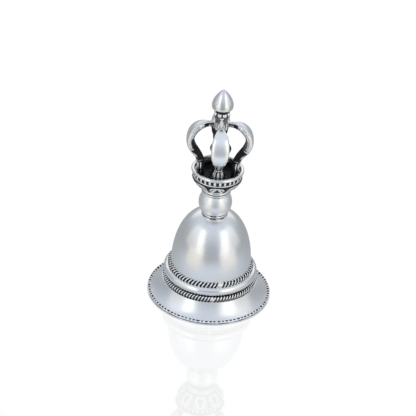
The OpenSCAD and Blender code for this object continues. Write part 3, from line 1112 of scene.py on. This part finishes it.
class HANDBELL_OT_petals(PieceOperator, bpy.types.Operator):
    """Lotus petals round the cup, each with a raised border and a vein"""

    bl_idname = "hand_bell.petals"
    bl_label = "Lotus petals"

    def build(self):
        cup = CupShape()
        low, high = lowest("lotus_petals").z, cup.top - 0.30
        count = sizes().petals
        half_angle = math.pi / count * 0.965
        columns, rows = 26, 22
        outer, outer_hollow, inner = [], [], []
        for j in range(rows + 1):
            v = j / rows
            z = low + (high - low) * v
            reach = half_angle * (0.84 + 0.16 * math.sin(math.pi * min(1.0, v * 0.9)))
            reach *= max(0.0, 1 - v ** 7.0) ** 0.5
            for i in range(columns + 1):
                s = 2 * i / columns - 1
                angle = s * max(reach, 0.012)
                base = cup.side(z)
                slope = abs(s) / 0.56 + (v - 0.16) / 0.80
                cell = (1 - step_up(slope, 0.86, 1.0)) * step_up(v, 0.14, 0.22)
                line = bell_curve(slope, 1.66, 0.17) * step_up(v, 0.30, 0.42) * (1 - step_up(v, 0.8, 0.9))
                raised = 0.36 - 0.30 * cell - 0.14 * line
                raised *= 1 - 0.8 * step_up(abs(s), 0.80, 0.94)
                radius = base + 0.02 + raised
                outer.append((radius * math.cos(angle), radius * math.sin(angle), z))
                outer_hollow.append(max(cell, line, step_up(abs(s), 0.82, 0.92)))
                inner.append(((base + 0.02) * math.cos(angle), (base + 0.02) * math.sin(angle), z))
        width = columns + 1
        total = len(outer)
        faces = []
        for j in range(rows):
            for i in range(columns):
                a, b = j * width + i, (j + 1) * width + i
                faces.append((a, a + 1, b + 1, b))
                faces.append((total + a, total + b, total + b + 1, total + a + 1))
        loop = list(range(width)) + [j * width + columns for j in range(1, rows + 1)]
        loop += [rows * width + i for i in range(columns - 1, -1, -1)]
        loop += [j * width for j in range(rows - 1, 0, -1)]
        for a, b in zip(loop, loop[1:] + loop[:1]):
            faces.append((a, total + a, total + b, b))
        petal = solid("petal", outer + inner, faces, outer_hollow + [1.0] * total, 60)
        piece = ring_of(
            "lotus_petal_row", petal, chased_silver(), Count=count, First_Angle=FRONT,
            Radius=0.0, Uneven_Size=0.0, Seed=2,
        )
        place(piece, chased_silver(), "chased_silver", "lotus_petals")


class ProngLine:
    """Middle line of a prong and of its root, in the (r, z) plane."""

    def __init__(self):
        s = sizes()
        self.thick = s.prong_thickness
        self.tip_thick = 1.5
        self.radius = s.bow_radius
        self.turn = s.bow_turn
        self.middle = Vector((
            CROWN_R - self.thick / 2 - self.radius, PRONG_TOP - self.tip_thick / 2 - self.radius
        ))
        self.root_r = CupShape().dish_r - self.thick / 2 - 0.1

    def bow(self, u):
        """Place and outward direction, from the hub at 0 to the bow's end at 1."""
        if u < 0.03:
            r = 2.2 + (self.middle.x - 2.2) * u / 0.03
            return Vector((r, self.middle.y + self.radius)), Vector((0.0, 1.0))
        angle = math.pi / 2 - (math.pi / 2 + self.turn) * (u - 0.03) / 0.97
        out = Vector((math.cos(angle), math.sin(angle)))
        return self.middle + out * self.radius, out

    def root(self, u):
        """Place and outward direction, from the bow's end at 0 to the dish at 1."""
        start = self.bow(1.0)[0]
        end = Vector((self.root_r, CUP_TOP + 0.3))
        share = 0.72
        if u >= share:
            down = (u - share) / (1 - share)
            return Vector((end.x, end.y + (DISH_Z + 0.01 - end.y) * down)), Vector((1.0, 0.0))
        t = u / share
        reach = 0.4 * (end - start).length
        first = start - Vector((math.sin(self.turn), math.cos(self.turn))) * reach
        second = end + Vector((0.0, reach))
        v = 1 - t
        at = v ** 3 * start + 3 * t * v * v * first + 3 * t * t * v * second + t ** 3 * end
        way = v * v * (first - start) + 2 * t * v * (second - first) + t * t * (end - second)
        way.normalize()
        return at, Vector((-way.y, way.x))


class HANDBELL_OT_prongs(PieceOperator, bpy.types.Operator):
    """The four curved prongs of the crown"""

    bl_idname = "hand_bell.prongs"
    bl_label = "Prongs"

    def build(self):
        line = ProngLine()
        line_up = []
        steps = 96
        full = sizes().prong_width
        for i in range(steps + 1):
            u = i / steps
            at, out = line.bow(u)
            width = full * table(u, [
                (0, 0.27), (0.06, 0.38), (0.19, 0.58), (0.30, 0.76), (0.40, 0.88), (0.50, 0.97),
                (0.62, 1.0), (0.76, 0.98), (0.88, 0.9), (1, 0.72),
            ])
            swell = math.sin(math.pi / 2 * min(1, u / 0.6))
            thick = line.tip_thick + (line.thick - line.tip_thick) * swell
            line_up.append((at, out, u, width, thick))
        for side, turn in PRONG_TURNS.items():
            stations = []
            for at, out, u, width, thick in line_up:
                stations.append((at, out) + self.section(u, width, thick, PRONG_KEEL_PAINTED_SHADE[side]))
            piece = swept("prong_arch_" + side, stations, turn)
            place(piece, prong_silver(side), "bright_silver", "prong_" + side)

    def section(self, u, width, thick, dark):
        """Ring of points and recesses: a smooth tongue, a groove, a bright edge and a dark keel.

        The flank's rows are its share of the half width, its place out of the middle as a
        share of the thickness, and its recess.
        """
        half = width / 2
        near_hub = 1 - step_up(u, 0.10, 0.24)
        lower = step_up(u, 0.52, 0.68)
        tongue = 0.95 - 0.20 * near_hub
        ring, hollows = [], []
        for k in range(25):
            a = math.pi * k / 24
            across = tongue * half * math.cos(a)
            crown = math.sqrt(max(0.0, 1 - (0.5 * across / half) ** 2))
            out = thick / 2 * (crown * (0.30 + 0.70 * math.sin(a) ** 0.45))
            ring.append((across, out))
            hollows.append(0.9 * near_hub * step_up(abs(math.cos(a)), 0.975, 1.0))
        groove = 0.75 * near_hub
        wedge = near_hub * step_up(u, 0.03, 0.06)
        # Painted shade on the lower keel, as strong as this side is given; on the lit sides one keel row
        # is left lighter.
        painted_keel_shade = lower * dark
        flank = (
            (0.975, 0.10, groove), (1.0, 0.04, 0.7 * near_hub), (1.0, -0.07, 0.9 * wedge),
            (0.99, -0.14, max(wedge, 0.95 * lower)), (0.975, -0.19, max(wedge, 0.5 * painted_keel_shade)),
            (0.96, -0.24, max(wedge, painted_keel_shade)), (0.93, -0.28, max(wedge, lower)),
            (0.90, -0.32, max(wedge, painted_keel_shade)), (0.86, -0.36, max(wedge, painted_keel_shade)),
            (0.80, -0.385, max(wedge, lower, 0.5)), (0.70, -0.41, 1.0),
            (0.56, -0.43, 1.0 - 0.7 * lower * (1 - dark)), (0.40, -0.45, 1.0), (0.22, -0.48, 1.0),
        )
        for share, out, depth in flank:
            ring.append((-share * half, out * thick))
            hollows.append(depth)
        ring.append((0.0, -thick / 2))
        hollows.append(1.0)
        for share, out, depth in reversed(flank):
            ring.append((share * half, out * thick))
            hollows.append(depth)
        return ring, hollows


class HANDBELL_OT_roots(PieceOperator, bpy.types.Operator):
    """Fluted roots that carry the prongs down into the dish, each ending in three claws"""

    bl_idname = "hand_bell.roots"
    bl_label = "Prong roots"

    def build(self):
        line = ProngLine()
        end_w = sizes().prong_width * 0.72
        steps = 90
        for side, turn in PRONG_TURNS.items():
            stations = []
            for i in range(steps + 1):
                u = i / steps
                at, out = line.root(u)
                width = table(u, [
                    (0, end_w), (0.2, end_w * 0.82), (0.42, 2.2), (0.54, 2.2), (0.74, 3.06), (1, 3.4),
                ])
                stations.append((at, out) + self.section(u, width, line.thick))
            piece = swept("prong_root_flutes_" + side, stations, turn, 60)
            place(piece, oxidised_silver(), "oxidised_silver", "prong_root_" + side)

    def section(self, u, width, thick):
        """Five ribs round the front and the sides and a dark back."""
        ring, hollows = [], []
        knot = bell_curve(u, 0.46, 0.035)
        claw = step_up(u, 0.50, 0.60)
        start = 1 - step_up(u, 0.14, 0.21)
        meeting = 1 - step_up(u, 0.0, 0.22)
        gap = max(bell_curve(u, 0.36, 0.035), bell_curve(u, 0.535, 0.02))
        for k in range(61):
            turn = math.radians(-20 + 220 * k / 60)
            cosine, sine = math.cos(turn), math.sin(turn)
            across = width / 2 * math.copysign(abs(cosine) ** 0.75, cosine)
            out = thick / 2 * math.copysign(abs(sine) ** 0.85, sine)
            crown = math.sqrt(1 - (0.5 * cosine) ** 2) * (0.30 + 0.70 * max(0.0, sine) ** 0.45)
            if sine > 0:
                out += (thick / 2 * crown - out) * meeting
            rib = 0.5 + 0.5 * math.cos(8 * turn)
            if knot > 0.2:
                rib = 0.5 + 0.5 * math.cos(16 * turn)
            flute = (0.15 + 0.17 * claw) * (1 - rib) * (1 - meeting)
            shrink = 1 - flute + (0.14 * knot - 0.10 * gap) * rib
            ring.append((across * min(1.06, shrink), out * min(1.06, shrink)))
            light = step_up(rib, 0.30, 0.62) * (1 - gap)
            light *= 1 - step_up(abs(cosine), 0.8, 0.95) * (1 - step_up(u, 0.42, 0.5)) * 0.85
            side_light = step_up(abs(cosine), 0.55, 0.68) * step_up(sine, 0.02, 0.2)
            side_light *= (1 - step_up(u, 0.27, 0.34)) * (1 - 0.9 * bell_curve(sine, 0.62, 0.07))
            hollows.append(1 - max(light * (1 - start), side_light, self.tongue_tip(u, cosine, sine)))
        for share, out in ((-0.72, -0.36), (-0.4, -0.46), (0.0, -0.5), (0.4, -0.46), (0.72, -0.36)):
            ring.append((width / 2 * share, thick * out))
            hollows.append(0.96)
        return ring, hollows

    def tongue_tip(self, u, cosine, sine):
        """The round end of the prong's bright tongue, at the top of the root."""
        if sine < 0.0:
            return 0.0
        reach = 0.96 * math.sqrt(max(0.0, 1 - (u / 0.19) ** 3))
        return 1 - step_up(abs(cosine), reach - 0.04, reach + 0.02)


class HANDBELL_OT_spindle(PieceOperator, bpy.types.Operator):
    """Spindle up the middle of the crown, and its bead"""

    bl_idname = "hand_bell.spindle"
    bl_label = "Spindle and bead"

    def build(self):
        outline = soften([
            (0.0, DISH_Z), (2.3, DISH_Z, 0.1), (2.3, DISH_Z + 0.5, 0.16), (1.5, DISH_Z + 1.6, 0.5),
            (1.2, DISH_Z + 3.4, 0.5), (1.2, HUB_Z), (0.0, HUB_Z),
        ])

        def hollow(r, z, angle):
            return 0.95 - 0.5 * bell_curve(z, DISH_Z + 0.5, 0.12)

        piece = spun("spindle_stem", outline, 64, hollow)
        place(piece, oxidised_silver(), "oxidised_silver", "central_spindle")

        low, high = lowest("spindle_bead"), highest("spindle_bead")
        middle = (low.z + high.z) / 2
        rise = (high.z - low.z) / 2
        bead = []
        for k in range(25):
            a = math.radians(-64 + 128 * k / 24)
            bead.append(((high.x + 0.1) * math.cos(a), middle + rise * math.sin(a)))
        bead = [(1.22, bead[0][1])] + bead + [(1.22, bead[-1][1])]

        def bead_hollow(r, z, angle):
            return 0.85 - 0.35 * bell_curve(z, middle, 0.35) * step_up(r, high.x - 0.2, high.x)

        piece = spun("spindle_ball", bead, 72, bead_hollow)
        piece.data.transform(Matrix.Translation((BEAD_SHIFT * MM, 0.0, 0.0)))
        place(piece, oxidised_silver(), "oxidised_silver", "spindle_bead")


class HANDBELL_OT_hub(PieceOperator, bpy.types.Operator):
    """Hub over the prongs with four climbing ridges, and its ring of beads"""

    bl_idname = "hand_bell.hub"
    bl_label = "Hub and beads"

    def build(self):
        rise = HUB_TOP - HUB_Z
        outline = []
        rows = 26
        for k in range(rows + 1):
            v = k / rows
            share = table(v, [(0, 0.80), (0.25, 0.86), (0.62, 0.74), (0.86, 0.82), (1, 0.94)])
            outline.append((HUB_R * share, HUB_Z + rise * v))
        outline = [(0.0, HUB_Z)] + outline + [(0.0, HUB_TOP)]

        def ridge(z, angle):
            v = (z - HUB_Z) / rise
            width = table(v, [(0, 0.62), (0.45, 0.50), (0.62, 0.30), (0.80, 0.20), (0.95, 0.24), (1, 0.3)])
            away = math.remainder(angle, math.pi / 2)
            between = math.remainder(angle + math.pi / 4, math.pi / 2)
            lesser = 0.8 * bell_curve(between, 0.0, 0.13) * (1 - step_up(v, 0.42, 0.6))
            return max(bell_curve(away, 0.0, width), lesser)

        def wobble(r, z, angle):
            if r < HUB_R * 0.5:
                return 0.0
            facet = 0.5 + 0.5 * math.cos(8 * angle)
            fit = 1 - step_up(z, HUB_TOP - 0.3, HUB_TOP)
            knuckle = 0.42 * bell_curve(z, HUB_Z + 0.58 * rise, 0.55)
            return (0.30 + knuckle) * ridge(z, angle) * fit + 0.05 * facet

        def hollow(r, z, angle):
            return 0.58 - 0.58 * step_up(ridge(z, angle), 0.34, 0.62)

        piece = spun("hub_neck", outline, 128, hollow, wobble)
        place(piece, oxidised_silver(), "oxidised_silver", "crown_hub")

        high = BEAD_RING_TOP - HUB_TOP
        mid = highest("hub_bead_ring").x - high / 2 - 0.03
        count = sizes().hub_beads
        bead = bead_part("hub_bead", high * 0.53, high * 0.51, high * 0.5, 0.68, 9, 14)
        beads = ring_of(
            "hub_bead_row", bead, chased_silver(), Count=count, Radius=mid * MM,
            Height=(HUB_TOP + high / 2) * MM, First_Angle=FRONT + math.pi / count,
            Uneven_Size=0.05, Uneven_Place=0.04, Seed=8,
        )
        disc = [(0.0, HUB_TOP), (mid, HUB_TOP), (mid, BEAD_RING_TOP), (0.0, BEAD_RING_TOP)]
        core = spun("hub_core", disc, 72, lambda *a: 1.0)
        ring = join("hub_bead_ring_piece", [beads, core])
        place(ring, chased_silver(), "chased_silver", "hub_bead_ring")


class HANDBELL_OT_drop(PieceOperator, bpy.types.Operator):
    """Drop on top of the hub"""

    bl_idname = "hand_bell.drop"
    bl_label = "Finial drop"

    def build(self):
        neck_r = 0.6 * DROP_R
        drop_z = BEAD_RING_TOP + 1.0
        low = math.radians(17)
        belly_z = drop_z + DROP_R * math.sin(low)
        rise = TIP_Z - belly_z
        side = []
        for k in range(9):
            a = -low * (1 - k / 8)
            side.append((DROP_R * math.cos(a), belly_z + DROP_R * math.sin(a)))
        for k in range(1, 41):
            u = 1 - (1 - k / 40) ** 1.35
            side.append((DROP_R * max(0.0, 1 - u ** 1.65) ** 0.86, belly_z + rise * u))
        under = soften([(neck_r, drop_z - 0.5), (neck_r, drop_z - 0.02, 0.15), side[0] + (0.22,), side[1]])
        outline = [(0.0, BEAD_RING_TOP), (neck_r, BEAD_RING_TOP)] + under[:-1] + side[2:]

        def hollow(r, z, angle):
            return 1.0 - step_up(z, drop_z - 0.02, drop_z + 0.16) * step_up(r, neck_r, neck_r + 0.5)

        def polished(r, z, angle):
            return 0.0 if z > belly_z else hollow(r, z, angle)

        piece = spun("finial_drop_shape", outline, 112, polished)
        place(piece, bright_silver(), "bright_silver", "finial_drop")


class HANDBELL_OT_clapper(PieceOperator, bpy.types.Operator):
    """Clapper, its link and staple, and the nut on the tie rod"""

    bl_idname = "hand_bell.clapper"
    bl_label = "Clapper"

    def build(self):
        for node in ("tie_rod", "rod_nut", "clapper_staple", "clapper_link", "clapper_eye"):
            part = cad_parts[node]
            part.data.materials.clear()
            part.data.materials.append(plain_silver())
        rod_low, rod_high = lowest("clapper_rod").z, highest("clapper_rod").z
        low, high = lowest("clapper_ball"), highest("clapper_ball")
        middle = low.z + high.x
        flat = math.degrees(math.asin((high.z - middle) / high.x))
        ball = arc((0.0, middle), high.x, -90, flat, 48)[1:]
        ball = [(0.0, low.z)] + [(r - 0.06 * bell_curve(z, middle + 1.35, 0.12), z) for r, z in ball]
        ball += [(0.0, high.z)]

        def ball_hollow(r, z, angle):
            seam = bell_curve(z, middle + 1.35, 0.14)
            worn = 0.30 * (1 - bell_curve(z, middle, 1.1))
            return max(0.95 * seam, worn + 0.1 * rough_edge(angle, 5.0))

        piece = spun("clapper_ball_piece", ball, 96, ball_hollow)
        place(piece, plain_silver(), "plain_silver", "clapper_ball", body="clapper")
        foot = highest("clapper_rod").x
        rod = soften([
            (0.0, rod_low), (foot, rod_low, 0.05), (foot, rod_low + 0.35, 0.1),
            (foot * 0.86, rod_low + 0.5, 0.1), (foot * 0.72, rod_high - 0.35, 0.1),
            (foot * 0.72, rod_high - 0.16, 0.08), (0.0, rod_high - 0.16),
        ])

        def rod_hollow(r, z, angle):
            return 0.35 + 0.4 * bell_curve(z, rod_low + 0.42, 0.1) + 0.3 * bell_curve(z, rod_high, 0.4)

        piece = spun("clapper_rod_piece", rod, 48, rod_hollow)
        place(piece, plain_silver(), "plain_silver", "clapper_rod", body="clapper")


# ---------------------------------------------------------------- the studio


class HANDBELL_OT_stage(PieceOperator, bpy.types.Operator):
    """Pale glossy floor with painted light for the metal to reflect, soft light and camera"""

    bl_idname = "hand_bell.stage"
    bl_label = "Stage"

    def build(self):
        self.floor()
        self.room()
        self.softboxes()
        self.camera()

    def floor(self):
        mesh = bpy.data.meshes.new("floor")
        reach = 3.0
        corners = [(-reach, -reach, 0), (reach, -reach, 0), (reach, reach, 0), (-reach, reach, 0)]
        mesh.from_pydata(corners, [], [(0, 1, 2, 3)])
        floor = show("floor", mesh)
        material = bpy.data.materials.new("white_acrylic")
        nodes = blank_nodes(material)
        place_on = nodes.add("ShaderNodeTexCoord")["Object"]
        grain = nodes.add("ShaderNodeTexNoise", None, {"Vector": place_on, "Scale": 900.0, "Detail": 2.0})
        shader = nodes.add("ShaderNodeBsdfPrincipled", None, {
            "Base Color": (0.04, 0.04, 0.04, 1.0),
            "Roughness": 0.025 + grain * 0.02,
            "IOR": 2.0,
            "Emission Color": (1.0, 1.0, 1.0, 1.0),
            "Emission Strength": 0.83,
        })
        spot = nodes.add("ShaderNodeSeparateXYZ", None, {"Vector": place_on})
        across, depth = spot["X"], spot["Y"]
        away = (across * across + depth * depth).root()
        bearing = across.maths("ARCTAN2", across, depth * -1.0)

        def painted_pool(towards):
            """A painted pool of light on the floor toward a softbox: its bearing in degrees."""
            apart = (bearing - math.radians(towards)).size()
            return (1.0 - apart.ramp(math.radians(15), math.radians(30))) * away.ramp(0.03, 0.07)

        # Painted light on the floor, seen only in reflections: a bluish glow near the bell, dimmer far off
        # and behind it, and painted pools of warm light toward the two key softboxes.
        near_bell, far_off = (0.72, 0.79, 0.89, 1.0), (0.38, 0.41, 0.45, 1.0)
        behind, painted_pool_colour = (0.40, 0.425, 0.455, 1.0), (0.90, 0.87, 0.82, 1.0)
        painted_floor_light = nodes.blend(away.ramp(0.045, 0.12), near_bell, far_off)
        painted_floor_light = nodes.blend(depth.ramp(-0.06, 0.04), painted_floor_light, behind)
        painted_floor_light = nodes.blend(painted_pool(-48).most(painted_pool(48)), painted_floor_light, painted_pool_colour)
        glow = nodes.add("ShaderNodeEmission", None, {"Color": painted_floor_light})
        # Camera rays see the plain pale floor; every other ray sees the painted glow.
        seen = nodes.add("ShaderNodeLightPath")["Is Camera Ray"]
        both = nodes.add("ShaderNodeMixShader", None, {0: seen, 1: glow, 2: shader})
        nodes.add("ShaderNodeOutputMaterial", None, {"Surface": both})
        mesh.materials.append(material)

    def room(self):
        world = bpy.data.worlds.new("studio")
        bpy.context.scene.world = world
        nodes = blank_nodes(world)
        around = nodes.add("ShaderNodeTexCoord")["Generated"]
        way = nodes.add("ShaderNodeSeparateXYZ", None, {"Vector": around})
        room = tuple(colours().room) + (1.0,)
        ceiling = tuple(colours().ceiling) + (1.0,)
        above = nodes.blend(way["Z"].ramp(0.05, 0.85), room, ceiling)
        board = way["Y"].ramp(0.55, 0.75) * way["Z"].ramp(0.22, 0.34) * (1.0 - way["Z"].ramp(0.62, 0.75))
        sky = nodes.blend(board, above, (1.05, 1.05, 1.05, 1.0))
        seen = nodes.add("ShaderNodeLightPath")["Is Camera Ray"]
        shown = nodes.blend(seen, sky, (1.0, 1.0, 1.0, 1.0))
        light = nodes.add("ShaderNodeBackground", None, {"Color": shown, "Strength": 1.0})
        nodes.add("ShaderNodeOutputWorld", None, {"Surface": light})

    def softboxes(self):
        # Name, bearing in degrees, width in metres, glow, and lean in degrees.
        boxes = (
            ("softbox_left", -41, 0.30, 2.55, 9),
            ("softbox_left_wing", -70, 0.60, 0.95, 0),
            ("softbox_right", 43, 0.40, 2.45, -9),
            ("softbox_right_wing", 76, 0.56, 1.0, 0),
        )
        distance, low, top = 0.75, -0.12, 0.93
        for name, azimuth, wide, glow, lean in boxes:
            a = math.radians(azimuth)
            towards = Vector((math.sin(a), -math.cos(a), 0.0))
            high = top - low
            light = bpy.data.lights.new(name, "AREA")
            light.shape = "RECTANGLE"
            light.size = wide
            light.size_y = high
            light.energy = glow * wide * high
            light.color = colours().softbox
            lamp = show(name, light)
            lamp.location = towards * distance + Vector((0.0, 0.0, (low + top) / 2))
            lamp.rotation_mode = "QUATERNION"
            level = (-towards).to_track_quat("-Z", "Y")
            lamp.rotation_quaternion = level @ Quaternion((0.0, 0.0, 1.0), math.radians(lean))

    def camera(self):
        view = bpy.data.cameras.new("camera")
        view.lens = 164.4
        view.sensor_width = 36.0
        view.clip_start = 0.01
        view.clip_end = 20.0
        camera = show("camera", view)
        azimuth, climb, lean = math.radians(-2.0), math.radians(32.3), math.radians(4.3)
        distance = 0.532
        aim = Vector((-1.9, 0.0, 27.7)) * MM
        away = Vector((
            math.sin(azimuth) * math.cos(climb), -math.cos(azimuth) * math.cos(climb), math.sin(climb)
        ))
        camera.location = aim + away * distance
        camera.rotation_mode = "QUATERNION"
        level = (-away).to_track_quat("-Z", "Y")
        camera.rotation_quaternion = level @ Quaternion((0.0, 0.0, 1.0), lean)
        bpy.context.scene.camera = camera
        bpy.context.scene.view_settings.view_transform = "Standard"


# ---------------------------------------------------------------- the sidebar and the run

PIECES = (
    HANDBELL_OT_skirt,
    HANDBELL_OT_rim,
    HANDBELL_OT_ropes,
    HANDBELL_OT_waist_band,
    HANDBELL_OT_dome,
    HANDBELL_OT_neck,
    HANDBELL_OT_cup,
    HANDBELL_OT_cup_beads,
    HANDBELL_OT_petals,
    HANDBELL_OT_prongs,
    HANDBELL_OT_roots,
    HANDBELL_OT_spindle,
    HANDBELL_OT_hub,
    HANDBELL_OT_drop,
    HANDBELL_OT_clapper,
    HANDBELL_OT_stage,
)


class HANDBELL_PT_panel(bpy.types.Panel):
    """Lists the bell's pieces and sizes"""

    bl_idname = "HANDBELL_PT_panel"
    bl_label = "Hand bell"
    bl_space_type = "VIEW_3D"
    bl_region_type = "UI"
    bl_category = "Hand bell"

    def draw(self, context):
        for settings in (sizes(), colours()):
            for name in settings.__annotations__:
                self.layout.prop(settings, name)
        for piece in PIECES:
            self.layout.operator(piece.bl_idname)


CLASSES = (BellSizes, BellColours) + PIECES + (HANDBELL_PT_panel,)


def register():
    for each in CLASSES:
        bpy.utils.register_class(each)
    bpy.types.Scene.hand_bell_sizes = bpy.props.PointerProperty(type=BellSizes)
    bpy.types.Scene.hand_bell_colours = bpy.props.PointerProperty(type=BellColours)


def unregister():
    del bpy.types.Scene.hand_bell_colours
    del bpy.types.Scene.hand_bell_sizes
    for each in reversed(CLASSES):
        bpy.utils.unregister_class(each)


def main():
    register()
    for piece in PIECES:
        group, call = piece.bl_idname.split(".")
        getattr(getattr(bpy.ops, group), call)()


if __name__ == "__main__":
    main()
